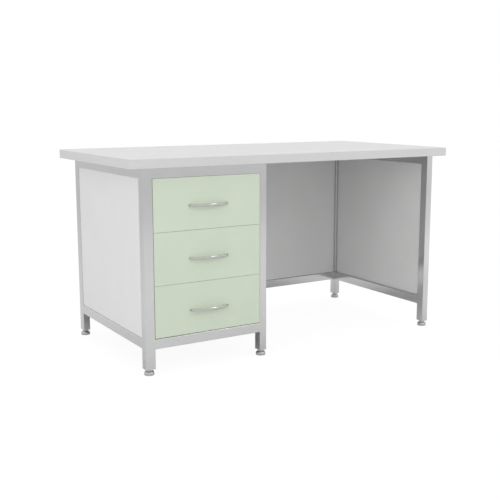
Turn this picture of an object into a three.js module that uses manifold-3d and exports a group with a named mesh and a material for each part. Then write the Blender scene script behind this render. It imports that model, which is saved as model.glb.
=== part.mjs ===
// Laboratory weighing table: a frame of rectangular tube that carries a thick worktop, with a
// pedestal of three drawers on telescopic runners at the left and a kneehole at the right.
// Millimetres, +X to the right along the front, +Y to the back, +Z up.
// The origin is on the floor, under the middle of the worktop.

import * as THREE from 'three';
import { mergeVertices } from 'three/addons/utils/BufferGeometryUtils.js';
import Module from 'manifold-3d';

// Overall size
const TABLE_LENGTH = 1500;
const TABLE_DEPTH = 750;
const TABLE_HEIGHT = 800;

// Worktop
const TOP_THICKNESS = 35;
const TOP_CORNER_RADIUS = 20;
const TOP_EDGE_RADIUS = 2;
const END_OVERHANG = 60;
const FRONT_OVERHANG = 30;
const BACK_OVERHANG = 30;

// Frame of rectangular tube: its deep side is upright in a rail and runs front to back in a leg
const TUBE_DEPTH = 38;
const TUBE_WIDTH = 30;
const CORNER_LEG_WIDTH = 38;
const TUBE_RADIUS = 2.5;
const TUBE_WALL = 1.5;
const BOTTOM_RAIL_HEIGHT = 98;
const PEDESTAL_WIDTH = 520;
const LEG_PLATE_THICKNESS = 5;

// Panels, and battens that carry the runners
const PANEL_THICKNESS = 16;
const END_PANEL_SETBACK = 3;
const BACK_PANEL_SETBACK = 9;
const BATTEN_WIDTH = 60;
const BATTEN_SETBACK = 45;

// Levelling feet
const FOOT_HEIGHT = 23;
const FOOT_PAD_DIAMETER = 38;
const FOOT_PAD_EDGE = 7.5;
const FOOT_PAD_CHAMFER = 2;
const FOOT_PAD_CONE = 8;
const FOOT_COLLAR_WIDTH = 22;
const FOOT_COLLAR_SIDES = 6;
const FOOT_STUD_DIAMETER = 10;
const FOOT_STUD_LENGTH = 45;

// Drawers
const DRAWER_COUNT = 3;
const DRAWER_GAP = 1.5;
const DRAWER_FRONT_THICKNESS = 18;
const DRAWER_FRONT_EDGE_RADIUS = 1;
const DRAWER_FRONT_CORNER_RADIUS = 2;
const DRAWER_BOX_LIFT = 18;
const DRAWER_BOX_HEADROOM = 36;
const DRAWER_BACK_SPACE = 96.7;
const DRAWER_SHEET = 1.5;
const DRAWER_HEM = 10;

// Bow handles of oval section, slimmer towards the ends and a little below the middle of the fronts
const HANDLE_LENGTH = 165;
const HANDLE_PROJECTION = 29;
const HANDLE_HEIGHT = 12;
const HANDLE_END_HEIGHT = 8;
const HANDLE_THICKNESS = 6;
const HANDLE_EDGE_RADIUS = 2.8;
const HANDLE_ROUNDNESS = 1.05;
const HANDLE_DROP = 6;

// Telescopic runners, three nested members
const RUNNER_HEIGHT = 45;
const RUNNER_THICKNESS = 12.5;
const RUNNER_CHANNEL_DEPTH = 10;
const RUNNER_SHEET = 1.2;
const RUNNER_BEND = 1.2;
const RUNNER_LIP = 4;
const RUNNER_LIFT = 45;
const RUNNER_SLOT_LENGTH = 9;
const RUNNER_SLOT_WIDTH = 4.6;
const RUNNER_FRONT_SLOT = 10;

// Clearances
const SEAT_GAP = 0.3;
const RUNNER_PLAY = 0.4;
const STUD_PLAY = 0.3;

// Facets of round shapes
const CORNER_SEGMENTS = 2;
const TOP_CORNER_SEGMENTS = 5;
const ROUND_SEGMENTS = 24;
const HANDLE_SEGMENTS = 28;
const EDGE_SEGMENTS = 2;
const BEND_SEGMENTS = 3;

// Faces of the frame
const frameLeft = -TABLE_LENGTH / 2 + END_OVERHANG;
const frameRight = TABLE_LENGTH / 2 - END_OVERHANG;
const frameFront = -TABLE_DEPTH / 2 + FRONT_OVERHANG;
const frameBack = TABLE_DEPTH / 2 - BACK_OVERHANG;
const frameTop = TABLE_HEIGHT - TOP_THICKNESS - SEAT_GAP;
const pedestalRight = frameLeft + PEDESTAL_WIDTH;

// Outer faces of the frame, each with the direction that leads into the table
const faces = {
  left: [frameLeft, 1],
  middle: [pedestalRight, -1],
  right: [frameRight, -1],
  front: [frameFront, 1],
  back: [frameBack, -1],
};

// A place that far inside a face
function inside(face, distance) {
  const [position, inward] = faces[face];
  return position + inward * distance;
}

// Clear space between the rails, between the front and back legs, and between the pedestal's legs
const railZ = {
  top: frameTop - TUBE_DEPTH / 2,
  bottom: BOTTOM_RAIL_HEIGHT + TUBE_DEPTH / 2,
};
const clearBottom = railZ.bottom + TUBE_DEPTH / 2;
const clearTop = railZ.top - TUBE_DEPTH / 2;
const clearFront = inside('front', TUBE_DEPTH);
const clearBack = inside('back', TUBE_DEPTH);
const bayLeft = inside('left', CORNER_LEG_WIDTH);
const bayRight = inside('middle', TUBE_WIDTH);
const bayCentre = (bayLeft + bayRight) / 2;

// Drawers and runners in that bay
const drawerPitch = (clearTop - clearBottom) / DRAWER_COUNT;
const drawerFrontHeight = drawerPitch - DRAWER_GAP;
const drawerFrontWidth = bayRight - bayLeft - 2 * DRAWER_GAP;
const drawerFrontBack = frameFront + DRAWER_FRONT_THICKNESS;
const runnerFront = drawerFrontBack + SEAT_GAP;
const backPanelFace = inside('back', BACK_PANEL_SETBACK + PANEL_THICKNESS);
const runnerLength = backPanelFace - DRAWER_BACK_SPACE - runnerFront;
const runnerBack = runnerFront + runnerLength;
const battenBack = runnerBack - BATTEN_SETBACK;
const drawerBoxWidth = bayRight - bayLeft - 2 * (RUNNER_THICKNESS + 2 * SEAT_GAP);
const drawerBoxHeight = drawerFrontHeight - DRAWER_BOX_LIFT - DRAWER_BOX_HEADROOM;

const wasm = await Module();
wasm.setup();

const table = new THREE.Group();

// Finishes

const steelFinish = { color: 0xc9cacb, roughness: 0.22, metalness: 1 };
const topFinish = { color: 0xe2e2e2, roughness: 0.45, metalness: 0 };
const panelFinish = { color: 0xe3e3e2, roughness: 0.5, metalness: 0 };
const drawerFinish = { color: 0xcdd8c5, roughness: 0.45, metalness: 0 };
const handleFinish = { color: 0xd6d6d6, roughness: 0.15, metalness: 1 };
const footFinish = { color: 0xb4b5b6, roughness: 0.4, metalness: 0.8 };
const runnerFinish = { color: 0xb9bdc0, roughness: 0.35, metalness: 1 };
const boxFinish = { color: 0xcfd0cf, roughness: 0.5, metalness: 0.2 };
const battenFinish = { color: 0xd2bd97, roughness: 0.7, metalness: 0 };

// Helpers for shapes and solids

function roundedRectangle(width, height, radius) {
  const x = width / 2 - radius;
  const y = height / 2 - radius;
  const shape = new THREE.Shape();
  shape.absarc(x, y, radius, 0, Math.PI / 2);
  shape.absarc(-x, y, radius, Math.PI / 2, Math.PI);
  shape.absarc(-x, -y, radius, Math.PI, Math.PI * 1.5);
  shape.absarc(x, -y, radius, Math.PI * 1.5, Math.PI * 2);
  shape.closePath();
  return shape;
}

// A straight prism from z = 0 to z = length
function prism(shape, length) {
  return new THREE.ExtrudeGeometry(shape, {
    depth: length,
    bevelEnabled: false,
    curveSegments: CORNER_SEGMENTS,
  });
}

// A board from z = 0 to z = thickness with its edges rounded
function easedBoard(shape, thickness, edgeRadius, curveSegments) {
  const board = new THREE.ExtrudeGeometry(shape, {
    depth: thickness - 2 * edgeRadius,
    bevelEnabled: true,
    bevelThickness: edgeRadius,
    bevelSize: edgeRadius,
    bevelOffset: -edgeRadius,
    bevelSegments: EDGE_SEGMENTS,
    curveSegments,
  });
  return board.translate(0, 0, edgeRadius);
}

function box(low, high) {
  const geometry = new THREE.BoxGeometry(high[0] - low[0], high[1] - low[1], high[2] - low[2]);
  return geometry.translate((low[0] + high[0]) / 2, (low[1] + high[1]) / 2, (low[2] + high[2]) / 2);
}

function toSolid(geometry) {
  const bare = geometry.clone();
  bare.deleteAttribute('normal');
  bare.deleteAttribute('uv');
  const merged = mergeVertices(bare);
  return new wasm.Manifold(new wasm.Mesh({
    numProp: 3,
    vertProperties: new Float32Array(merged.attributes.position.array),
    triVerts: new Uint32Array(merged.index.array),
  }));
}

function toGeometry(solid) {
  const mesh = solid.getMesh();
  const geometry = new THREE.BufferGeometry();
  geometry.setAttribute('position', new THREE.BufferAttribute(mesh.vertProperties, 3));
  geometry.setIndex(new THREE.BufferAttribute(mesh.triVerts, 1));
  geometry.computeVertexNormals();
  return geometry;
}

function cut(blank, ...tools) {
  return toGeometry(tools.reduce((solid, tool) => solid.subtract(toSolid(tool)), toSolid(blank)));
}

function join(first, ...others) {
  return toGeometry(others.reduce((solid, other) => solid.add(toSolid(other)), toSolid(first)));
}

function addPiece(parent, name, geometry, finish) {
  const piece = new THREE.Mesh(geometry, new THREE.MeshStandardMaterial(finish));
  piece.name = name;
  parent.add(piece);
  return piece;
}

// Worktop

function addWorktop() {
  const outline = roundedRectangle(TABLE_LENGTH, TABLE_DEPTH, TOP_CORNER_RADIUS);
  const slab = easedBoard(outline, TOP_THICKNESS, TOP_EDGE_RADIUS, TOP_CORNER_SEGMENTS);
  const worktop = addPiece(table, 'worktop', slab, topFinish);
  worktop.position.z = TABLE_HEIGHT - TOP_THICKNESS;
}

// Frame

// The bore of a tube of that outer width
function tubeBore(width) {
  const boreRadius = Math.max(TUBE_RADIUS - TUBE_WALL, TUBE_WALL / 2);
  return roundedRectangle(width - 2 * TUBE_WALL, TUBE_DEPTH - 2 * TUBE_WALL, boreRadius);
}

// A leg closed at its foot by a plate with the hole for the stud
function legGeometry(width) {
  const length = frameTop - FOOT_HEIGHT;
  const bore = prism(tubeBore(width), length);
  bore.translate(0, 0, LEG_PLATE_THICKNESS);
  const holeRadius = FOOT_STUD_DIAMETER / 2 + STUD_PLAY;
  const studHole = new THREE.CylinderGeometry(holeRadius, holeRadius, length, ROUND_SEGMENTS);
  studHole.rotateX(Math.PI / 2);
  return cut(prism(roundedRectangle(width, TUBE_DEPTH, TUBE_RADIUS), length), bore, studHole);
}

// Where each leg stands, with its width
function legPlaces() {
  const places = [];
  for (const row of ['front', 'back']) {
    for (const side of ['left', 'middle', 'right']) {
      const width = row === 'front' && side === 'left' ? CORNER_LEG_WIDTH : TUBE_WIDTH;
      const x = inside(side, width / 2);
      const y = inside(row, TUBE_DEPTH / 2);
      places.push({ name: `${row}_${side}`, width, x, y });
    }
  }
  return places;
}

function railGeometry(length) {
  const profile = roundedRectangle(TUBE_WIDTH, TUBE_DEPTH, TUBE_RADIUS);
  profile.holes.push(tubeBore(TUBE_WIDTH));
  return prism(profile, length);
}

// A rail against an end of the frame, from its back leg to its front leg
function addEndRail(frame, name, side, z) {
  const rail = addPiece(frame, name, railGeometry(clearBack - clearFront - 2 * SEAT_GAP), steelFinish);
  rail.rotation.x = Math.PI / 2;
  rail.position.set(inside(side, TUBE_WIDTH / 2), clearBack - SEAT_GAP, z);
}

// A rail against the front or the back of the frame, between two places along X
function addLongRail(frame, name, row, left, right, z) {
  const rail = addPiece(frame, name, railGeometry(right - left - 2 * SEAT_GAP), steelFinish);
  rail.rotation.set(Math.PI / 2, Math.PI / 2, 0);
  rail.position.set(left + SEAT_GAP, inside(row, TUBE_WIDTH / 2), z);
}

function addFrame() {
  const frame = new THREE.Group();
  table.add(frame);
  for (const { name, width, x, y } of legPlaces()) {
    const leg = addPiece(frame, `leg_${name}`, legGeometry(width), steelFinish);
    leg.position.set(x, y, FOOT_HEIGHT);
  }
  const backLeft = inside('left', TUBE_WIDTH);
  const backRight = inside('right', TUBE_WIDTH);
  for (const level of ['top', 'bottom']) {
    for (const side of ['left', 'middle', 'right']) {
      addEndRail(frame, `${level}_rail_${side}`, side, railZ[level]);
    }
    addLongRail(frame, `${level}_rail_pedestal_front`, 'front', bayLeft, bayRight, railZ[level]);
    addLongRail(frame, `${level}_rail_pedestal_back`, 'back', backLeft, bayRight, railZ[level]);
    addLongRail(frame, `${level}_rail_kneehole_back`, 'back', pedestalRight, backRight, railZ[level]);
  }
}

// Panels in the openings of the frame, and battens inside them

function addBoard(panels, name, xs, ys, finish) {
  const low = [Math.min(...xs), Math.min(...ys), clearBottom + SEAT_GAP];
  const high = [Math.max(...xs), Math.max(...ys), clearTop - SEAT_GAP];
  addPiece(panels, name, box(low, high), finish);
}

function addPanels() {
  const panels = new THREE.Group();
  table.add(panels);
  const endPanelFace = (side) => inside(side, END_PANEL_SETBACK + PANEL_THICKNESS);
  const endBoard = (side) => [inside(side, END_PANEL_SETBACK), endPanelFace(side)];
  const backBoard = [inside('back', BACK_PANEL_SETBACK), backPanelFace];
  const seated = (low, high) => [low + SEAT_GAP, high - SEAT_GAP];
  const endSpan = seated(clearFront, clearBack);
  const pedestalSpan = seated(inside('left', TUBE_WIDTH), bayRight);
  const kneeholeSpan = seated(pedestalRight, inside('right', TUBE_WIDTH));
  addBoard(panels, 'panel_left_end', endBoard('left'), endSpan, panelFinish);
  addBoard(panels, 'panel_right_end', endBoard('right'), endSpan, panelFinish);
  addBoard(panels, 'panel_pedestal_side', endBoard('middle'), endSpan, panelFinish);
  addBoard(panels, 'panel_pedestal_back', pedestalSpan, backBoard, panelFinish);
  addBoard(panels, 'panel_kneehole_back', kneeholeSpan, backBoard, panelFinish);

  const battenSpan = [battenBack - BATTEN_WIDTH, battenBack];
  const leftBatten = [endPanelFace('left') + SEAT_GAP, bayLeft];
  const rightBatten = [bayRight, endPanelFace('middle') - SEAT_GAP];
  addBoard(panels, 'runner_batten_left', leftBatten, battenSpan, battenFinish);
  addBoard(panels, 'runner_batten_right', rightBatten, battenSpan, battenFinish);
}

// Levelling feet: a round pad, a hexagonal collar that stops under the leg, and a stud

function footGeometry() {
  const padRadius = FOOT_PAD_DIAMETER / 2;
  const collarTop = FOOT_HEIGHT - SEAT_GAP;
  const coneTop = FOOT_PAD_EDGE + FOOT_PAD_CONE;
  const profile = [
    [0, 0],
    [padRadius - FOOT_PAD_CHAMFER, 0],
    [padRadius, FOOT_PAD_CHAMFER],
    [padRadius, FOOT_PAD_EDGE],
    [FOOT_COLLAR_WIDTH / 2, coneTop],
    [0, coneTop],
  ].map(([radius, z]) => new THREE.Vector2(radius, z));
  const pad = new THREE.LatheGeometry(profile, ROUND_SEGMENTS);
  const collarRadius = FOOT_COLLAR_WIDTH / 2 / Math.cos(Math.PI / FOOT_COLLAR_SIDES);
  const collarHeight = collarTop - FOOT_PAD_EDGE;
  const collar = new THREE.CylinderGeometry(collarRadius, collarRadius, collarHeight, FOOT_COLLAR_SIDES);
  collar.translate(0, (collarTop + FOOT_PAD_EDGE) / 2, 0);
  const studRadius = FOOT_STUD_DIAMETER / 2;
  const studTop = collarTop + FOOT_STUD_LENGTH;
  const stud = new THREE.CylinderGeometry(studRadius, studRadius, studTop - coneTop, ROUND_SEGMENTS);
  stud.translate(0, (studTop + coneTop) / 2, 0);
  return join(pad, collar, stud).rotateX(Math.PI / 2);
}

function addFeet() {
  const feet = new THREE.Group();
  table.add(feet);
  for (const { name, x, y } of legPlaces()) {
    const foot = addPiece(feet, `foot_${name}`, footGeometry(), footFinish);
    foot.position.set(x, y, 0);
  }
}

// Drawers

// The middle line of a handle, which leaves the drawer front squarely at both ends
class BowCurve extends THREE.Curve {
  getPoint(t, target = new THREE.Vector3()) {
    const halfLength = (HANDLE_LENGTH - HANDLE_THICKNESS) / 2;
    const reach = HANDLE_PROJECTION - HANDLE_THICKNESS / 2;
    const angle = Math.PI * t;
    const rise = Math.max(Math.sin(angle), 0) ** HANDLE_ROUNDNESS;
    return target.set(-halfLength * Math.cos(angle), -reach * rise, 0);
  }
}

function handleGeometry() {
  const section = roundedRectangle(HANDLE_HEIGHT, HANDLE_THICKNESS, HANDLE_EDGE_RADIUS);
  const bow = new THREE.ExtrudeGeometry(section, {
    steps: HANDLE_SEGMENTS,
    curveSegments: CORNER_SEGMENTS,
    extrudePath: new BowCurve(),
  });
  const points = bow.attributes.position;
  const endShare = HANDLE_END_HEIGHT / HANDLE_HEIGHT;
  for (let index = 0; index < points.count; index += 1) {
    const fullness = Math.cos((Math.PI * points.getX(index)) / HANDLE_LENGTH);
    points.setZ(index, points.getZ(index) * (endShare + (1 - endShare) * fullness));
  }
  return bow;
}

// A folded sheet tray, open at the top, with a hem turned in all round its mouth
function drawerBoxGeometry() {
  const half = drawerBoxWidth / 2;
  const sheet = DRAWER_SHEET;
  const mouth = sheet + DRAWER_HEM;
  const top = drawerBoxHeight;
  const blank = box([-half, 0, 0], [half, runnerLength, top]);
  const inside = box([-half + sheet, sheet, sheet], [half - sheet, runnerLength - sheet, top - sheet]);
  const opening = box([-half + mouth, mouth, sheet], [half - mouth, runnerLength - mouth, top + sheet]);
  return cut(blank, inside, opening);
}

// Sections of the runner members: u runs from the frame to the drawer, v is up.
// side is 1 for a runner at the left of its drawer and -1 for one at the right.

const runnerStep = RUNNER_SHEET + RUNNER_PLAY;
const middleHeight = RUNNER_HEIGHT - 2 * runnerStep;
const middleDepth = RUNNER_CHANNEL_DEPTH - 2 * runnerStep;

// The outline of a rolled sheet whose middle line runs through these corners in square bends
function rolledSheet(corners) {
  const left = [];
  const right = [];
  const addPoint = (point, heading) => {
    const offset = new THREE.Vector2(-heading.y, heading.x).multiplyScalar(RUNNER_SHEET / 2);
    left.push(point.clone().add(offset));
    right.unshift(point.clone().sub(offset));
  };
  const headings = corners.slice(1).map((corner, index) => corner.clone().sub(corners[index]).normalize());
  addPoint(corners[0], headings[0]);
  for (let bend = 1; bend < corners.length - 1; bend += 1) {
    const [before, after] = [headings[bend - 1], headings[bend]];
    const inward = after.clone().sub(before);
    const centre = corners[bend].clone().addScaledVector(inward, RUNNER_BEND);
    for (let step = 0; step <= BEND_SEGMENTS; step += 1) {
      const turn = (Math.PI / 2) * (step / BEND_SEGMENTS);
      const heading = before.clone().multiplyScalar(Math.cos(turn)).addScaledVector(after, Math.sin(turn));
      const outward = before.clone().multiplyScalar(Math.sin(turn)).addScaledVector(after, -Math.cos(turn));
      addPoint(centre.clone().addScaledVector(outward, RUNNER_BEND), heading);
    }
  }
  addPoint(corners.at(-1), headings.at(-1));
  return new THREE.Shape([...left, ...right]);
}

// A rolled section that is the same above and below, from its upper corners
function mirroredSection(side, upper) {
  const lower = upper.map(([u, v]) => [u, -v]).reverse();
  return rolledSheet([...upper, ...lower].map(([u, v]) => new THREE.Vector2(side * u, v)));
}

function lippedChannel(side, height, depth) {
  const middle = RUNNER_SHEET / 2;
  const lipEnd = height / 2 - RUNNER_SHEET - RUNNER_LIP;
  const flange = height / 2 - middle;
  return mirroredSection(side, [[depth - middle, lipEnd], [depth - middle, flange], [middle, flange]]);
}

function hatSection(side) {
  const middle = RUNNER_SHEET / 2;
  const brim = RUNNER_CHANNEL_DEPTH - 2 * runnerStep - middle;
  const brimEnd = middleHeight / 2 - runnerStep;
  const wall = middleHeight / 2 - runnerStep - RUNNER_LIP - middle;
  return mirroredSection(side, [[brim, brimEnd], [brim, wall], [RUNNER_THICKNESS - middle, wall]]);
}

// A member with round-ended screw slots through its web, at these distances from its back end
function runnerMember(section, web, slots) {
  const member = prism(section, runnerLength);
  const outline = roundedRectangle(RUNNER_SLOT_WIDTH, RUNNER_SLOT_LENGTH, RUNNER_SLOT_WIDTH / 2);
  const tools = slots.map((distance) => {
    const tool = prism(outline, 2 * RUNNER_SHEET);
    return tool.rotateX(Math.PI / 2).rotateZ(Math.PI / 2).translate(web - RUNNER_SHEET, 0, distance);
  });
  return cut(member, ...tools);
}

function addRunner(drawer, prefix, side, z) {
  const bayFace = side > 0 ? bayLeft : bayRight;
  const slots = [runnerBack - battenBack + BATTEN_WIDTH / 2, runnerLength - RUNNER_FRONT_SLOT];
  const outer = lippedChannel(side, RUNNER_HEIGHT, RUNNER_CHANNEL_DEPTH);
  const middle = lippedChannel(side, middleHeight, middleDepth);
  const innerWeb = side * (RUNNER_THICKNESS - RUNNER_SHEET / 2);
  const members = {
    outer: [runnerMember(outer, (side * RUNNER_SHEET) / 2, slots), 0],
    middle: [prism(middle, runnerLength), runnerStep],
    inner: [runnerMember(hatSection(side), innerWeb, slots), 0],
  };
  for (const [member, [geometry, offset]] of Object.entries(members)) {
    const piece = addPiece(drawer, `${prefix}_${member}`, geometry, runnerFinish);
    piece.rotation.x = Math.PI / 2;
    piece.position.set(bayFace + side * (SEAT_GAP + offset), runnerBack, z);
  }
}

function addDrawer(number) {
  const drawer = new THREE.Group();
  table.add(drawer);
  const prefix = `drawer_${number}`;
  const centre = clearTop - drawerPitch * (number - 0.5);
  const boxBottom = centre - drawerFrontHeight / 2 + DRAWER_BOX_LIFT;

  const outline = roundedRectangle(drawerFrontWidth, drawerFrontHeight, DRAWER_FRONT_CORNER_RADIUS);
  const board = easedBoard(outline, DRAWER_FRONT_THICKNESS, DRAWER_FRONT_EDGE_RADIUS, CORNER_SEGMENTS);
  const front = addPiece(drawer, `${prefix}_front`, board, drawerFinish);
  front.rotation.x = Math.PI / 2;
  front.position.set(bayCentre, drawerFrontBack, centre);

  const tray = addPiece(drawer, `${prefix}_box`, drawerBoxGeometry(), boxFinish);
  tray.position.set(bayCentre, runnerFront, boxBottom);

  const handle = addPiece(drawer, `${prefix}_handle`, handleGeometry(), handleFinish);
  handle.position.set(bayCentre, frameFront - SEAT_GAP, centre - HANDLE_DROP);

  addRunner(drawer, `${prefix}_runner_left`, 1, boxBottom + RUNNER_LIFT);
  addRunner(drawer, `${prefix}_runner_right`, -1, boxBottom + RUNNER_LIFT);
}

addWorktop();
addFrame();
addPanels();
addFeet();
for (let number = 1; number <= DRAWER_COUNT; number += 1) {
  addDrawer(number);
}

export default table;
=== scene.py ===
import math

import bmesh
import bpy
from mathutils import Matrix, Vector


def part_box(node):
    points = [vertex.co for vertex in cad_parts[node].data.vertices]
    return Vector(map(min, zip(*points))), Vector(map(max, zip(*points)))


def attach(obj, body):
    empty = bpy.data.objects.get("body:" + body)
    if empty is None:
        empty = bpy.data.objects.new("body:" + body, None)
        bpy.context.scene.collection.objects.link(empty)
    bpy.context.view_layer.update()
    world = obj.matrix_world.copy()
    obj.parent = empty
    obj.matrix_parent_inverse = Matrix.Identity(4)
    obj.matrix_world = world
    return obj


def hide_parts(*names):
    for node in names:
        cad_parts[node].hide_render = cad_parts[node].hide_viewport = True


# Looks of a laboratory weighing table: steel tube frame, white panels, green drawers, grey worktop

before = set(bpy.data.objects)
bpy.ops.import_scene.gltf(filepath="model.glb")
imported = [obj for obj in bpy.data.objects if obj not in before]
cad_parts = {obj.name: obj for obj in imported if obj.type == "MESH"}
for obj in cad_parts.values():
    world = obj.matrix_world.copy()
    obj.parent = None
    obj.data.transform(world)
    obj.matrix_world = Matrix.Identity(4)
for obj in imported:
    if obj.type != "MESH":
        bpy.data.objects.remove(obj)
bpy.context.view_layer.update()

# Sizes in metres
MM = 0.001

# Tubes of the frame
TUBE_RADIUS = 2.5 * MM
TUBE_WALL = 1.5 * MM
LEG_PLATE = 5 * MM
STUD_HOLE = 5.3 * MM

# Weld beads: a ripple of this swell, and ends that start at a share of the full size and grow to it
WELD_SIZE = 2.2 * MM
WELD_RIPPLE = 2.4 * MM
WELD_ROOT = 0.3 * MM
WELD_SWELL = 0.14
WELD_END = 0.25
WELD_GROWTH = 8

# Boards
WORKTOP_CORNER = 20 * MM
WORKTOP_EDGE = 2 * MM
EDGING = 2 * MM
HAIRLINE = 0.15 * MM
PANEL_EDGE = 0.8 * MM
DRAWER_EDGE = 0.4 * MM
DRAWER_EDGING = 0.5 * MM
LOWEST_DRAWER_LIFT = 1.2 * MM

# Handles: the roundness is the power of the sine that shapes the bow
HANDLE_HEIGHT = 12 * MM
HANDLE_END_HEIGHT = 8 * MM
HANDLE_THICKNESS = 6 * MM
HANDLE_ROUNDNESS = 1.05

# Levelling feet
SEAT_GAP = 0.3 * MM
FOOT_PAD_RADIUS = 19 * MM
FOOT_PAD_EDGE = 7.5 * MM
FOOT_SHOULDER = 8 * MM
FOOT_SOLE = 2 * MM
FOOT_SOLE_INSET = 0.4 * MM
FOOT_RIM = 0.8 * MM
FOOT_COLLAR = 22 * MM
FOOT_COLLAR_CHAMFER = 1 * MM
STUD_CHAMFER = 1 * MM
STUD_RADIUS = 5 * MM
THREAD_PITCH = 1.5 * MM
THREAD_DEPTH = 0.45 * MM
THREAD_LENGTH = 27 * MM

# Screws: the dome sets how far a head falls towards its rim, and 0 would be a flat head
SCREW_HEAD_RADIUS = 4 * MM
SCREW_HEAD_HEIGHT = 2.4 * MM
SCREW_DOME = 0.72
RECESS_WIDTH = 1 * MM
RECESS_REACH = 2.3 * MM
RECESS_DEPTH = 1.3 * MM
WORKTOP_SCREW_INSET = 5.5 * MM
WORKTOP_SCREW_SHARES = (0.25, 0.75)
DRAWER_SHEET = 1.5 * MM
RUNNER_SHEET = 1.2 * MM
RUNNER_FRONT_SLOT = 10 * MM
RUNNER_BACK_SLOT = 75 * MM

# Facets of round forms, and the flats that make the hole in a leg's plate round
TUBE_STEPS = 6
LEG_FLATS = 8
WORKTOP_CORNER_STEPS = 14
WORKTOP_EDGE_STEPS = 6
BOARD_EDGE_STEPS = 3
WELD_STEPS = 4
WELD_ARC = (0, 30, 60, 90)
HANDLE_STEPS = 96
HANDLE_FACETS = 32
FOOT_FACETS = 48
FOOT_RIM_STEPS = 8
COLLAR_FACETS = 6
STUD_FACETS = 24
THREAD_STEPS = 6
SCREW_FACETS = 40
SCREW_STEPS = 8

# The camera, as fitted to the photograph
CAMERA_PLACE = (-1.9059, -3.0776, 0.9956)
CAMERA_YAW = 31.63
CAMERA_PITCH = 9.65
CAMERA_LENS = 60.52
CAMERA_SENSOR = 36
CAMERA_SHIFT = -0.01

# Light and floor: the sky's strength, and how much the floor scatters and glows for each kind of ray
SKY = 0.85
LAMP_TARGET = Vector((0, 0, 0.5))
FLOOR_HALF = 14
FLOOR_DROP = 0.2 * MM
FLOOR_BOUNCE = 0.62
FLOOR_SEEN_SCATTER = 0.10
FLOOR_SEEN_GLOW = 0.93
FLOOR_MIRRORED_GLOW = 0.04
# Painted shade on the floor that the gloss sees, darker near a place in the kneehole and far off: metres
# from that place, and how much it scatters there
PAINTED_SHADE_CENTRE = (0.35, -0.05, 0)
FLOOR_REFLECTED_SHADE = ((0.35, 0.81), (0.7, 0.92), (1.5, 0.92), (5, 0.81))

SIDES = ("left", "middle", "right")
ROWS = ("front", "back")
DRAWERS = (1, 2, 3)


# Shader helpers


class Finish:
    """A material with one Principled shader, and short calls that wire procedural detail to it."""

    def __init__(self, name, color, roughness, metallic=0.0):
        self.material = bpy.data.materials.new(name)
        self.material.use_nodes = True
        self.nodes = self.material.node_tree.nodes
        self.links = self.material.node_tree.links
        self.shader = self.nodes["Principled BSDF"]
        self.color = color
        self.shader.inputs["Base Color"].default_value = (*color, 1)
        self.shader.inputs["Roughness"].default_value = roughness
        self.shader.inputs["Metallic"].default_value = metallic

    def node(self, kind, **values):
        """A new node, with each value set as its property or else as its input."""
        made = self.nodes.new(kind)
        for key, value in values.items():
            if hasattr(made, key):
                setattr(made, key, value)
            else:
                made.inputs[key].default_value = value
        return made

    def coordinates(self, source="Object", scale=(1, 1, 1)):
        """Texture space in metres, or along and across a tube for source UV."""
        place = self.node("ShaderNodeTexCoord")
        mapping = self.node("ShaderNodeMapping")
        mapping.inputs["Scale"].default_value = scale
        self.links.new(place.outputs[source], mapping.inputs["Vector"])
        return mapping.outputs["Vector"]

    def noise(self, scale, detail=3.0, roughness=0.5, vector=None):
        texture = self.node("ShaderNodeTexNoise", Scale=scale, Detail=detail, Roughness=roughness)
        self.links.new(vector or self.coordinates(), texture.inputs["Vector"])
        return texture.outputs["Fac"]

    def spread(self, value, low=0.0, high=1.0, start=0.25, end=0.75):
        """A noise value stretched to run from low to high."""
        span = self.node("ShaderNodeMapRange")
        for key, number in (("From Min", start), ("From Max", end), ("To Min", low), ("To Max", high)):
            span.inputs[key].default_value = number
        self.links.new(value, span.inputs["Value"])
        return span.outputs["Result"]

    def tint(self, factor, darkening):
        """Base colour that goes from the finish's colour to a darker one."""
        mix = self.node("ShaderNodeMix", data_type="RGBA")
        mix.inputs["A"].default_value = (*self.color, 1)
        mix.inputs["B"].default_value = (*(channel * darkening for channel in self.color), 1)
        self.links.new(factor, mix.inputs["Factor"])
        self.links.new(mix.outputs["Result"], self.shader.inputs["Base Color"])

    def vary_roughness(self, value, low, high):
        self.links.new(self.spread(value, low, high), self.shader.inputs["Roughness"])

    def bump(self, height, strength, distance):
        relief = self.node("ShaderNodeBump", Strength=strength, Distance=distance)
        self.links.new(height, relief.inputs["Height"])
        self.links.new(relief.outputs["Normal"], self.shader.inputs["Normal"])


def laminate(name, color, roughness):
    """A pressed laminate sheet: a fine pearl texture, cloudy colour and a satin gloss."""
    finish = Finish(name, color, roughness)
    cloud = finish.noise(scale=7, detail=4)
    finish.tint(finish.spread(cloud), darkening=0.965)
    pearl = finish.noise(scale=900, detail=2)
    finish.vary_roughness(finish.noise(scale=60), roughness - 0.05, roughness + 0.06)
    finish.bump(pearl, strength=0.12, distance=0.0002)
    return finish.material


def brushed_steel(name, color, roughness):
    """Polished tube with faint drawing lines along it and a slow change of gloss."""
    finish = Finish(name, color, roughness, metallic=1.0)
    along_tube = finish.coordinates("UV", scale=(5, 1600, 1))
    lines = finish.noise(scale=1, detail=5, roughness=0.65, vector=along_tube)
    smudge = finish.noise(scale=9, detail=4)
    finish.tint(finish.spread(smudge), darkening=0.95)
    finish.vary_roughness(lines, roughness - 0.03, roughness + 0.05)
    finish.bump(lines, strength=0.05, distance=0.00006)
    return finish.material


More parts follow.
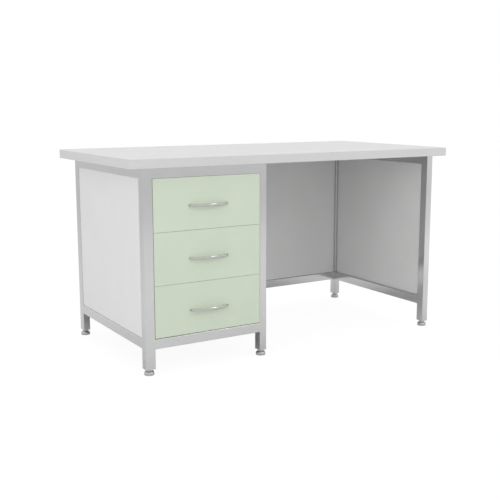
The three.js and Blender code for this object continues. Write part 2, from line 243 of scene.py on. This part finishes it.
def plated(name, color, roughness, spangle=0):
    """Bright plating with a light haze, and a crystal spangle where zinc shows one."""
    finish = Finish(name, color, roughness, metallic=1.0)
    haze = finish.noise(scale=120, detail=4)
    pattern = haze
    if spangle:
        crystals = finish.node("ShaderNodeTexVoronoi", Scale=spangle)
        finish.links.new(finish.coordinates(), crystals.inputs["Vector"])
        pattern = crystals.outputs["Distance"]
    finish.tint(finish.spread(pattern, start=0.1, end=0.9), darkening=0.86)
    finish.vary_roughness(haze, roughness - 0.04, roughness + 0.08)
    finish.bump(haze, strength=0.04, distance=0.0001)
    return finish.material


def powder_coat(name, color, roughness):
    """Baked paint with orange peel."""
    finish = Finish(name, color, roughness)
    finish.tint(finish.spread(finish.noise(scale=14)), darkening=0.95)
    finish.vary_roughness(finish.noise(scale=220, detail=2), roughness - 0.05, roughness + 0.07)
    finish.bump(finish.noise(scale=650, detail=2), strength=0.18, distance=0.0003)
    return finish.material


def pressed_board(name, color):
    """Raw particle board: pale and dark chips."""
    finish = Finish(name, color, roughness=0.8)
    chips = finish.noise(scale=320, detail=6, roughness=0.7)
    finish.tint(finish.spread(chips, start=0.35, end=0.65), darkening=0.55)
    finish.vary_roughness(chips, low=0.72, high=0.9)
    finish.bump(chips, strength=0.35, distance=0.0006)
    return finish.material


def moulded_rubber(name, color):
    """Dull rubber or nylon of the foot's sole."""
    finish = Finish(name, color, roughness=0.6)
    finish.tint(finish.spread(finish.noise(scale=200, detail=4)), darkening=0.8)
    finish.vary_roughness(finish.noise(scale=400), low=0.52, high=0.7)
    finish.bump(finish.noise(scale=1500), strength=0.15, distance=0.0002)
    return finish.material


GREY_TOP = laminate("grey_laminate", (0.70, 0.70, 0.698), roughness=0.46)
GREY_EDGE = laminate("grey_edging", (0.69, 0.69, 0.688), roughness=0.42)
WHITE_PANEL = laminate("white_laminate", (0.84, 0.84, 0.837), roughness=0.5)
GREEN_FRONT = laminate("green_laminate", (0.675, 0.758, 0.617), roughness=0.5)
STEEL = brushed_steel("polished_steel", (0.62, 0.622, 0.623), roughness=0.16)
WELD = plated("weld_metal", (0.52, 0.52, 0.52), roughness=0.32)
CHROME = plated("bright_plating", (0.53, 0.555, 0.505), roughness=0.09)
ZINC = plated("zinc_plating", (0.60, 0.615, 0.63), roughness=0.28, spangle=260)
NICKEL = plated("nickel_plating", (0.57, 0.572, 0.575), roughness=0.44)
BOX_PAINT = powder_coat("grey_powder_coat", (0.60, 0.605, 0.60), roughness=0.48)
BATTEN = pressed_board("particle_board", (0.62, 0.5, 0.33))
SOLE = moulded_rubber("grey_sole", (0.44, 0.44, 0.445))


# Mesh helpers


def add_piece(name, mesh_source, material, body, smooth_angle=32):
    """Turns a bmesh into a piece that rides on a body. Flat faces stay flat beside rounded edges."""
    mesh = bpy.data.meshes.new(name)
    bmesh.ops.recalc_face_normals(mesh_source, faces=mesh_source.faces)
    mesh_source.to_mesh(mesh)
    mesh_source.free()
    mesh.polygons.foreach_set("use_smooth", [True] * len(mesh.polygons))
    mesh.set_sharp_from_angle(angle=math.radians(smooth_angle))
    mesh.materials.append(material)
    piece = bpy.data.objects.new(name, mesh)
    bpy.context.scene.collection.objects.link(piece)
    flat_faces = piece.modifiers.new("flat_faces", "WEIGHTED_NORMAL")
    flat_faces.keep_sharp = True
    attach(piece, body)
    return piece


def quarter_turn(steps):
    """Angles from 0 to 90 degrees."""
    return [math.radians(90 * step / steps) for step in range(steps + 1)]


def rounded_section(width, depth, radius, steps=TUBE_STEPS, flats=1):
    """Points of a rounded rectangle round the origin, anticlockwise, with each side cut into flats."""
    corners = []
    for side_x, side_y, start in ((1, 1, 0), (-1, 1, 90), (-1, -1, 180), (1, -1, 270)):
        centre = Vector((side_x * (width / 2 - radius), side_y * (depth / 2 - radius)))
        turns = [math.radians(start) + turn for turn in quarter_turn(steps)]
        corners.append([centre + radius * Vector((math.cos(turn), math.sin(turn))) for turn in turns])
    points = []
    for corner, following in zip(corners, corners[1:] + corners[:1]):
        points += corner
        points += [corner[-1].lerp(following[0], cut / flats) for cut in range(1, flats)]
    return points


def circle_like(points, radius):
    """A circle with one point on the ray of each given point."""
    return [radius * point.normalized() for point in points]


def circle(radius, count):
    turns = [math.tau * index / count for index in range(count)]
    return [(radius * math.cos(turn), radius * math.sin(turn)) for turn in turns]


def ring(points, height, matrix=Matrix.Identity(4)):
    return [matrix @ Vector((x, y, height)) for x, y in points]


def loft(rings, closed=False, mesh=None):
    """Skins rings of equal count. Closed joins the last ring to the first; otherwise both ends get a cap.
    UV runs along the rings in u and round them in v, in metres."""
    mesh = mesh or bmesh.new()
    uv = mesh.loops.layers.uv.verify()
    rows = [[mesh.verts.new(point) for point in points] for points in rings]
    count = len(rows[0])
    around = [0.0]
    for index in range(count):
        around.append(around[-1] + (rings[0][(index + 1) % count] - rings[0][index]).length)
    along = 0.0
    for lower in range(len(rows) if closed else len(rows) - 1):
        upper = (lower + 1) % len(rows)
        step = (rings[upper][0] - rings[lower][0]).length
        for index in range(count):
            after = (index + 1) % count
            lower_edge = (rows[lower][index], rows[lower][after])
            upper_edge = (rows[upper][after], rows[upper][index])
            face = mesh.faces.new(lower_edge + upper_edge)
            spots = ((along, index), (along, index + 1), (along + step, index + 1), (along + step, index))
            for corner, (u, v) in zip(face.loops, spots):
                corner[uv].uv = (u, around[v])
        along += step
    if not closed:
        mesh.faces.new(list(reversed(rows[0])))
        mesh.faces.new(rows[-1])
    return mesh


def turned(profile, place, count=FOOT_FACETS):
    """A closed solid of revolution from radius and height pairs."""
    return loft([ring(circle(radius, count), height, place) for radius, height in profile])


def eased_block(low, high, radius):
    """A box with all its edges rounded."""
    mesh = bmesh.new()
    size = Matrix.Diagonal((*(high - low), 1))
    bmesh.ops.create_cube(mesh, size=1, matrix=Matrix.Translation((low + high) / 2) @ size)
    edges = mesh.edges[:]
    bmesh.ops.bevel(mesh, geom=edges, offset=radius, segments=BOARD_EDGE_STEPS, affect="EDGES", profile=0.5)
    return mesh


def axes_to(origin, x_axis, y_axis, z_axis):
    """The matrix that takes local axes to these directions at an origin."""
    rotation = Matrix((x_axis, y_axis, z_axis)).transposed().to_4x4()
    return Matrix.Translation(origin) @ rotation


# Worktop: a laminated board with a separate edging round it


def make_worktop():
    low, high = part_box("worktop")
    centre = Matrix.Translation(((low.x + high.x) / 2, (low.y + high.y) / 2, 0))
    size = high - low

    def outline(inset):
        corner = WORKTOP_CORNER - inset
        return rounded_section(size.x - 2 * inset, size.y - 2 * inset, corner, WORKTOP_CORNER_STEPS)

    core = outline(EDGING + HAIRLINE)
    board = loft([ring(core, low.z, centre), ring(core, high.z, centre)])
    piece = add_piece("worktop_board", board, GREY_TOP, "table")
    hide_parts("worktop")

    rings = []
    for turn in quarter_turn(WORKTOP_EDGE_STEPS):
        inset = WORKTOP_EDGE * (1 - math.sin(turn))
        rings.append(ring(outline(inset), low.z + WORKTOP_EDGE * (1 - math.cos(turn)), centre))
    for turn in quarter_turn(WORKTOP_EDGE_STEPS):
        inset = WORKTOP_EDGE * (1 - math.cos(turn))
        rings.append(ring(outline(inset), high.z - WORKTOP_EDGE * (1 - math.sin(turn)), centre))
    add_piece("worktop_edging", loft(rings, closed=True), GREY_EDGE, "table")


# Frame


def make_leg(name):
    """A tube that is closed at its foot by a plate with the stud's hole."""
    node = f"leg_{name}"
    low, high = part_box(node)
    place = Matrix.Translation(((low.x + high.x) / 2, (low.y + high.y) / 2, 0))
    outer = rounded_section(high.x - low.x, high.y - low.y, TUBE_RADIUS, flats=LEG_FLATS)
    bore_size = (high.x - low.x - 2 * TUBE_WALL, high.y - low.y - 2 * TUBE_WALL)
    bore = rounded_section(*bore_size, TUBE_RADIUS - TUBE_WALL, flats=LEG_FLATS)
    hole = circle_like(outer, STUD_HOLE)
    plate_top = low.z + LEG_PLATE
    rings = [ring(outer, low.z, place), ring(outer, high.z, place), ring(bore, high.z, place)]
    rings += [ring(bore, plate_top, place), ring(hole, plate_top, place), ring(hole, low.z, place)]
    piece = add_piece(f"leg_tube_{name}", loft(rings, closed=True), STEEL, "table")
    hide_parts(node)


def rail_axes(low, high):
    """A rail's local axes, with x across it, y up and z along it, then its length and its width."""
    centre = (low + high) / 2
    along_x = high.x - low.x > high.y - low.y
    if along_x:
        return axes_to(centre, (0, 1, 0), (0, 0, 1), (1, 0, 0)), high.x - low.x, high.y - low.y
    return axes_to(centre, (1, 0, 0), (0, 0, 1), (0, -1, 0)), high.y - low.y, high.x - low.x


def make_rail(node):
    """A rail whose ends run into the rounded edges of its legs, as ground welds do."""
    low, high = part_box(node)
    place, length, width = rail_axes(low, high)
    height = high.z - low.z
    reach = length / 2 + TUBE_RADIUS
    outer = rounded_section(width, height, TUBE_RADIUS)
    bore = rounded_section(width - 2 * TUBE_WALL, height - 2 * TUBE_WALL, TUBE_RADIUS - TUBE_WALL)
    rings = [ring(outer, -reach, place), ring(outer, reach, place)]
    rings += [ring(bore, reach, place), ring(bore, -reach, place)]
    piece = add_piece(f"{node}_tube", loft(rings, closed=True), STEEL, "table")
    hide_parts(node)


def weld_bead(mesh, start, end, out_a, out_b):
    """A rippled bead along a corner, between two faces that point along out_a and out_b."""
    length = (end - start).length
    count = max(2, round(length / WELD_RIPPLE)) * WELD_STEPS
    rings = []
    for step in range(count + 1):
        share = step / count
        swell = 1 - WELD_SWELL + WELD_SWELL * math.cos(math.tau * step / WELD_STEPS)
        taper = min(1.0, WELD_GROWTH * min(share, 1 - share) + WELD_END)
        size = WELD_SIZE * swell * taper
        centre = start.lerp(end, share)
        points = [centre - WELD_ROOT * (out_a + out_b)]
        for angle in WELD_ARC:
            turn = math.radians(angle)
            points.append(centre + size * (math.cos(turn) * out_a + math.sin(turn) * out_b))
        rings.append(points)
    loft(rings, mesh=mesh)


def make_welds(rails):
    """Fillet welds where nothing is ground flush: under the bottom rails and inside the long rails."""
    mesh = bmesh.new()
    for node in rails:
        low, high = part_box(node)
        place, length, width = rail_axes(low, high)
        turn = place.to_3x3()
        across, up, along = (turn @ Vector(axis) for axis in ((1, 0, 0), (0, 1, 0), (0, 0, 1)))
        centre = (low + high) / 2
        half_height = (high.z - low.z) / 2
        runs_along_x = high.x - low.x > high.y - low.y
        inner = -math.copysign(1, centre.y)
        for end in (-1, 1):
            tip = centre + end * (length / 2) * along
            flat = (width / 2 - TUBE_RADIUS) * across
            under = tip - half_height * up
            if node.startswith("bottom"):
                weld_bead(mesh, under - flat, under + flat, -up, -end * along)
            if runs_along_x:
                side = tip + inner * (width / 2) * across
                upright = (half_height - TUBE_RADIUS) * up
                weld_bead(mesh, side - upright, side + upright, inner * across, -end * along)
    add_piece("frame_welds", mesh, WELD, "table", smooth_angle=60)


# Boards


def make_board(node, name, material):
    low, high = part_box(node)
    piece = add_piece(name, eased_block(low, high, PANEL_EDGE), material, "table")
    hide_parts(node)


def make_panels():
    for place in ("left_end", "right_end", "pedestal_side", "pedestal_back", "kneehole_back"):
        make_board(f"panel_{place}", f"{place}_panel", WHITE_PANEL)
    for side in ("left", "right"):
        make_board(f"runner_batten_{side}", f"batten_{side}", BATTEN)


# Levelling feet


def rounded_rim(radius, height):
    """The lower rim of a disc, turned up to its side."""
    return [
        (radius - FOOT_RIM * (1 - math.sin(turn)), height + FOOT_RIM * (1 - math.cos(turn)))
        for turn in quarter_turn(FOOT_RIM_STEPS)
    ]


def stud_rings(start, top, place):
    """Rings of a threaded stud that starts on the collar, with a bare chamfered tip."""
    steps = round(THREAD_LENGTH / THREAD_PITCH) * THREAD_STEPS
    rings = []
    for step in range(steps + 1):
        height = start + THREAD_LENGTH * step / steps
        points = []
        for x, y in circle(1, STUD_FACETS):
            phase = (height / THREAD_PITCH - math.atan2(y, x) / math.tau) % 1
            radius = STUD_RADIUS - THREAD_DEPTH * abs(2 * phase - 1)
            points.append((radius * x, radius * y))
        rings.append(ring(points, height, place))
    root = STUD_RADIUS - THREAD_DEPTH
    rings.append(ring(circle(root, STUD_FACETS), top - STUD_CHAMFER, place))
    rings.append(ring(circle(root - THREAD_DEPTH, STUD_FACETS), top, place))
    return rings


def make_foot(name):
    """A pad with a rounded shoulder on a thin sole, a hexagonal collar and a threaded stud."""
    node = f"foot_{name}"
    body = f"foot_{name}_body"
    low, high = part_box(node)
    place = Matrix.Translation(((low.x + high.x) / 2, (low.y + high.y) / 2, low.z))
    neck = FOOT_COLLAR / 2
    shoulder_top = FOOT_PAD_EDGE + FOOT_SHOULDER
    collar_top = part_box(f"leg_{name}")[0].z - low.z - SEAT_GAP

    sole_radius = FOOT_PAD_RADIUS - FOOT_SOLE_INSET
    sole = turned(rounded_rim(sole_radius, 0) + [(sole_radius, FOOT_SOLE)], place)
    piece = add_piece(f"foot_sole_{name}", sole, SOLE, body)
    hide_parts(node)

    shoulder = [
        (neck + (FOOT_PAD_RADIUS - neck) * math.cos(turn), FOOT_PAD_EDGE + FOOT_SHOULDER * math.sin(turn))
        for turn in quarter_turn(FOOT_RIM_STEPS)
    ]
    pad = turned(rounded_rim(FOOT_PAD_RADIUS, FOOT_SOLE) + shoulder, place)
    add_piece(f"foot_pad_{name}", pad, NICKEL, body)

    corner = neck / math.cos(math.pi / COLLAR_FACETS)
    collar_profile = [
        (corner, shoulder_top - FOOT_COLLAR_CHAMFER),
        (corner, collar_top - FOOT_COLLAR_CHAMFER),
        (corner - FOOT_COLLAR_CHAMFER, collar_top),
    ]
    collar = turned(collar_profile, place, COLLAR_FACETS)
    add_piece(f"foot_collar_{name}", collar, NICKEL, body)

    stud = loft(stud_rings(collar_top, high.z - low.z, place))
    add_piece(f"foot_stud_{name}", stud, ZINC, body)


# Drawers


def make_drawer_front(number):
    """A laminated board whose top and side edges carry a thin edging. The lowest clears the rail."""
    body = f"drawer_{number}"
    low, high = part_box(f"{body}_front")
    low.x -= DRAWER_EDGING
    high.x += DRAWER_EDGING
    high.z += DRAWER_EDGING
    if number == DRAWERS[-1]:
        low.z += LOWEST_DRAWER_LIFT
    block = eased_block(low, high, DRAWER_EDGE)
    piece = add_piece(f"{body}_panel", block, GREEN_FRONT, body)
    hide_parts(f"{body}_front")


def make_handle(number):
    """A bow of oval section that leaves the front squarely and is slimmer towards its ends."""
    body = f"drawer_{number}"
    node = f"{body}_handle"
    low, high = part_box(node)
    centre = Vector(((low.x + high.x) / 2, high.y, (low.z + high.z) / 2))
    half_length = (high.x - low.x - HANDLE_THICKNESS) / 2
    reach = high.y - low.y - HANDLE_THICKNESS / 2
    nearby = 0.01

    def spot(step):
        angle = math.pi * step / HANDLE_STEPS
        rise = max(math.sin(angle), 0) ** HANDLE_ROUNDNESS
        return Vector((-half_length * math.cos(angle), -reach * rise, 0))

    rings = []
    for step in range(HANDLE_STEPS + 1):
        point = spot(step)
        along = (spot(step + nearby) - spot(step - nearby)).normalized()
        if step in (0, HANDLE_STEPS):
            along = Vector((0, -1 if step == 0 else 1, 0))
        across = along.cross(Vector((0, 0, 1)))
        fullness = math.cos(math.pi * point.x / (high.x - low.x))
        height = HANDLE_END_HEIGHT + (HANDLE_HEIGHT - HANDLE_END_HEIGHT) * fullness
        rings.append([
            centre + point + Vector((0, 0, height / 2 * up)) + HANDLE_THICKNESS / 2 * out * across
            for up, out in circle(1, HANDLE_FACETS)
        ])
    piece = add_piece(f"{body}_pull", loft(rings), CHROME, body, smooth_angle=50)
    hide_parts(node)


def screw_head(mesh, place):
    """A pan head with a cross recess, on the local xy plane. A cap with a radius of half a step ends it."""
    rings = [ring(circle(SCREW_HEAD_RADIUS, SCREW_FACETS), 0, place)]
    for step in range(SCREW_STEPS + 1):
        share = 1 - step / (SCREW_STEPS + 0.5)
        dome = SCREW_HEAD_HEIGHT * math.sqrt(1 - SCREW_DOME * share * share)
        points = []
        for x, y in circle(SCREW_HEAD_RADIUS * share, SCREW_FACETS):
            in_recess = min(abs(x), abs(y)) < RECESS_WIDTH / 2 and max(abs(x), abs(y)) < RECESS_REACH
            points.append(place @ Vector((x, y, dome - (RECESS_DEPTH if in_recess else 0))))
        rings.append(points)
    loft(rings, mesh=mesh)


def make_drawer_screws(number):
    """Handle screws inside the drawer, and the screws that hold the runners' inner members to its box."""
    body = f"drawer_{number}"
    box_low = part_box(f"{body}_box")[0]
    pull_low, pull_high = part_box(f"{body}_handle")
    mesh = bmesh.new()
    for x in (pull_low.x + HANDLE_THICKNESS / 2, pull_high.x - HANDLE_THICKNESS / 2):
        spot = Vector((x, box_low.y + DRAWER_SHEET, (pull_low.z + pull_high.z) / 2))
        screw_head(mesh, axes_to(spot, (1, 0, 0), (0, 0, -1), (0, 1, 0)))
    for side, facing in (("left", -1), ("right", 1)):
        low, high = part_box(f"{body}_runner_{side}_inner")
        web = (high.x if side == "left" else low.x) + facing * RUNNER_SHEET
        for y in (low.y + RUNNER_FRONT_SLOT, high.y - RUNNER_BACK_SLOT):
            spot = Vector((web, y, (low.z + high.z) / 2))
            screw_head(mesh, axes_to(spot, (0, -facing, 0), (0, 0, -1), (facing, 0, 0)))
    add_piece(f"{body}_screws", mesh, ZINC, body, smooth_angle=40)


def set_finish(node, material):
    """Gives a CAD node that stays visible its own material."""
    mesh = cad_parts[node].data
    mesh.materials.clear()
    mesh.materials.append(material)


def make_drawers():
    for number in DRAWERS:
        make_drawer_front(number)
        make_handle(number)
        make_drawer_screws(number)
        set_finish(f"drawer_{number}_box", BOX_PAINT)
        for side in ("left", "right"):
            for member in ("outer", "middle", "inner"):
                set_finish(f"drawer_{number}_runner_{side}_{member}", ZINC)


def make_worktop_screws():
    """Screws that go up through the top rails into the worktop."""
    mesh = bmesh.new()
    for side, inward in (("left", 1), ("middle", -1), ("right", -1)):
        low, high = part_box(f"top_rail_{side}")
        inner_face = high.x if inward > 0 else low.x
        for share in WORKTOP_SCREW_SHARES:
            y = low.y + (high.y - low.y) * share
            spot = Vector((inner_face - inward * WORKTOP_SCREW_INSET, y, low.z))
            screw_head(mesh, axes_to(spot, (1, 0, 0), (0, -1, 0), (0, 0, -1)))
    add_piece("worktop_screws", mesh, ZINC, "table", smooth_angle=40)


# Stage, light and camera


def light_path_sum(nodes, links, path, kinds):
    """One where a ray is of any of these kinds, or else zero."""
    total = path.outputs[kinds[0]]
    for kind in kinds[1:]:
        add = nodes.new("ShaderNodeMath")
        add.operation = "ADD"
        add.use_clamp = True
        links.new(total, add.inputs[0])
        links.new(path.outputs[kind], add.inputs[1])
        total = add.outputs["Value"]
    return total


def mix_shaders(nodes, links, factor, plain, special):
    """The plain shader where the factor is zero, and the special one where it is one."""
    mix = nodes.new("ShaderNodeMixShader")
    links.new(factor, mix.inputs["Fac"])
    links.new(plain, mix.inputs[1])
    links.new(special, mix.inputs[2])
    return mix.outputs["Shader"]


def make_world():
    """A soft even sky that the camera and reflections see as white."""
    world = bpy.data.worlds.new("studio")
    bpy.context.scene.world = world
    world.use_nodes = True
    nodes = world.node_tree.nodes
    links = world.node_tree.links
    nodes.clear()

    def background(strength):
        made = nodes.new("ShaderNodeBackground")
        made.inputs["Color"].default_value = (1, 1, 1, 1)
        made.inputs["Strength"].default_value = strength
        return made.outputs["Background"]

    output = nodes.new("ShaderNodeOutputWorld")
    path = nodes.new("ShaderNodeLightPath")
    seen = light_path_sum(nodes, links, path, ("Is Camera Ray", "Is Glossy Ray", "Is Transmission Ray"))
    sky = mix_shaders(nodes, links, seen, background(SKY), background(1.0))
    links.new(sky, output.inputs["Surface"])


def floor_surface(nodes, links, scatter, glow):
    """A matt surface that also glows, with the socket of its colour."""
    diffuse = nodes.new("ShaderNodeBsdfDiffuse")
    diffuse.inputs["Color"].default_value = (scatter, scatter, scatter, 1)
    emission = nodes.new("ShaderNodeEmission")
    emission.inputs["Color"].default_value = (1, 1, 1, 1)
    emission.inputs["Strength"].default_value = glow
    both = nodes.new("ShaderNodeAddShader")
    links.new(diffuse.outputs["BSDF"], both.inputs[0])
    links.new(emission.outputs["Emission"], both.inputs[1])
    return both.outputs["Shader"], diffuse.inputs["Color"]


def painted_floor_shade(nodes, links):
    """Painted shade on the floor for the gloss: the scatter by the distance from a place in the kneehole,
    lowest near it and far off.
    """
    reach = FLOOR_REFLECTED_SHADE[-1][0]
    place = nodes.new("ShaderNodeTexCoord")
    distance = nodes.new("ShaderNodeVectorMath")
    distance.operation = "DISTANCE"
    distance.inputs[1].default_value = PAINTED_SHADE_CENTRE
    links.new(place.outputs["Object"], distance.inputs[0])
    share = nodes.new("ShaderNodeMath")
    share.operation = "DIVIDE"
    share.inputs[1].default_value = reach
    links.new(distance.outputs["Value"], share.inputs[0])
    tones = nodes.new("ShaderNodeValToRGB")
    stops = tones.color_ramp.elements
    stops.remove(stops[1])
    for index, (metres, scatter) in enumerate(FLOOR_REFLECTED_SHADE):
        stop = stops.new(metres / reach) if index else stops[0]
        stop.position = metres / reach
        stop.color = (scatter, scatter, scatter, 1)
    links.new(share.outputs["Value"], tones.inputs["Fac"])
    return tones.outputs["Color"]


def make_floor_material():
    """White for the camera with a soft shadow, a tone with painted shade for reflections, and its own tone
    for bounced light.
    """
    material = bpy.data.materials.new("floor")
    material.use_nodes = True
    nodes = material.node_tree.nodes
    links = material.node_tree.links
    nodes.clear()
    output = nodes.new("ShaderNodeOutputMaterial")
    path = nodes.new("ShaderNodeLightPath")
    bounced, _ = floor_surface(nodes, links, FLOOR_BOUNCE, 0.0)
    reflected, reflected_color = floor_surface(nodes, links, FLOOR_REFLECTED_SHADE[0][1], FLOOR_MIRRORED_GLOW)
    # The gloss sees a painted shade on the floor near the kneehole and far off
    links.new(painted_floor_shade(nodes, links), reflected_color)
    seen, _ = floor_surface(nodes, links, FLOOR_SEEN_SCATTER, FLOOR_SEEN_GLOW)
    mirrored = light_path_sum(nodes, links, path, ("Is Glossy Ray", "Is Transmission Ray"))
    shader = mix_shaders(nodes, links, mirrored, bounced, reflected)
    shader = mix_shaders(nodes, links, path.outputs["Is Camera Ray"], shader, seen)
    links.new(shader, output.inputs["Surface"])
    return material


def make_floor():
    """A wide square just under the feet, which belongs to the stage and not to the table."""
    mesh = bmesh.new()
    bmesh.ops.create_grid(mesh, x_segments=1, y_segments=1, size=FLOOR_HALF)
    data = bpy.data.meshes.new("floor")
    mesh.to_mesh(data)
    mesh.free()
    data.materials.append(make_floor_material())
    floor = bpy.data.objects.new("floor", data)
    floor.location.z = -FLOOR_DROP
    bpy.context.scene.collection.objects.link(floor)


def make_lamp(name, place, size, power, mirrored=False):
    """A round soft lamp aimed at the table, which either lights it or only shows in its gloss."""
    data = bpy.data.lights.new(name, "AREA")
    data.shape = "DISK"
    data.size = size
    data.energy = power
    lamp = bpy.data.objects.new(name, data)
    lamp.location = place
    lamp.rotation_euler = (LAMP_TARGET - Vector(place)).to_track_quat("-Z", "Y").to_euler()
    lamp.visible_glossy = mirrored
    lamp.visible_diffuse = not mirrored
    bpy.context.scene.collection.objects.link(lamp)


def make_camera():
    data = bpy.data.cameras.new("camera")
    data.lens = CAMERA_LENS
    data.sensor_width = CAMERA_SENSOR
    data.shift_x = CAMERA_SHIFT
    data.shift_y = CAMERA_SHIFT
    camera = bpy.data.objects.new("camera", data)
    camera.location = CAMERA_PLACE
    camera.rotation_euler = (math.radians(90 - CAMERA_PITCH), 0, math.radians(-CAMERA_YAW))
    bpy.context.scene.collection.objects.link(camera)
    bpy.context.scene.camera = camera


def make_stage():
    bpy.context.scene.view_settings.view_transform = "Standard"
    make_camera()
    make_world()
    make_floor()
    make_lamp("key", place=(-3.8, -2.6, 1.7), size=2.4, power=32)
    make_lamp("top", place=(0, -0.4, 3.6), size=3.0, power=10)
    make_lamp("fill", place=(2.1, -3.2, 2.3), size=1.4, power=17)
    make_lamp("glint", place=(1.7, -3.3, 2.3), size=0.9, power=10, mirrored=True)
    make_lamp("card", place=(1.77, -1.51, 0.3), size=1.2, power=0.5, mirrored=True)


def make_table():
    make_worktop()
    for row in ROWS:
        for side in SIDES:
            make_leg(f"{row}_{side}")
            make_foot(f"{row}_{side}")
    spans = (*SIDES, "pedestal_front", "pedestal_back", "kneehole_back")
    rails = [f"{level}_rail_{span}" for level in ("top", "bottom") for span in spans]
    for rail in rails:
        make_rail(rail)
    make_welds(rails)
    make_panels()
    make_drawers()
    make_worktop_screws()


make_stage()
make_table()
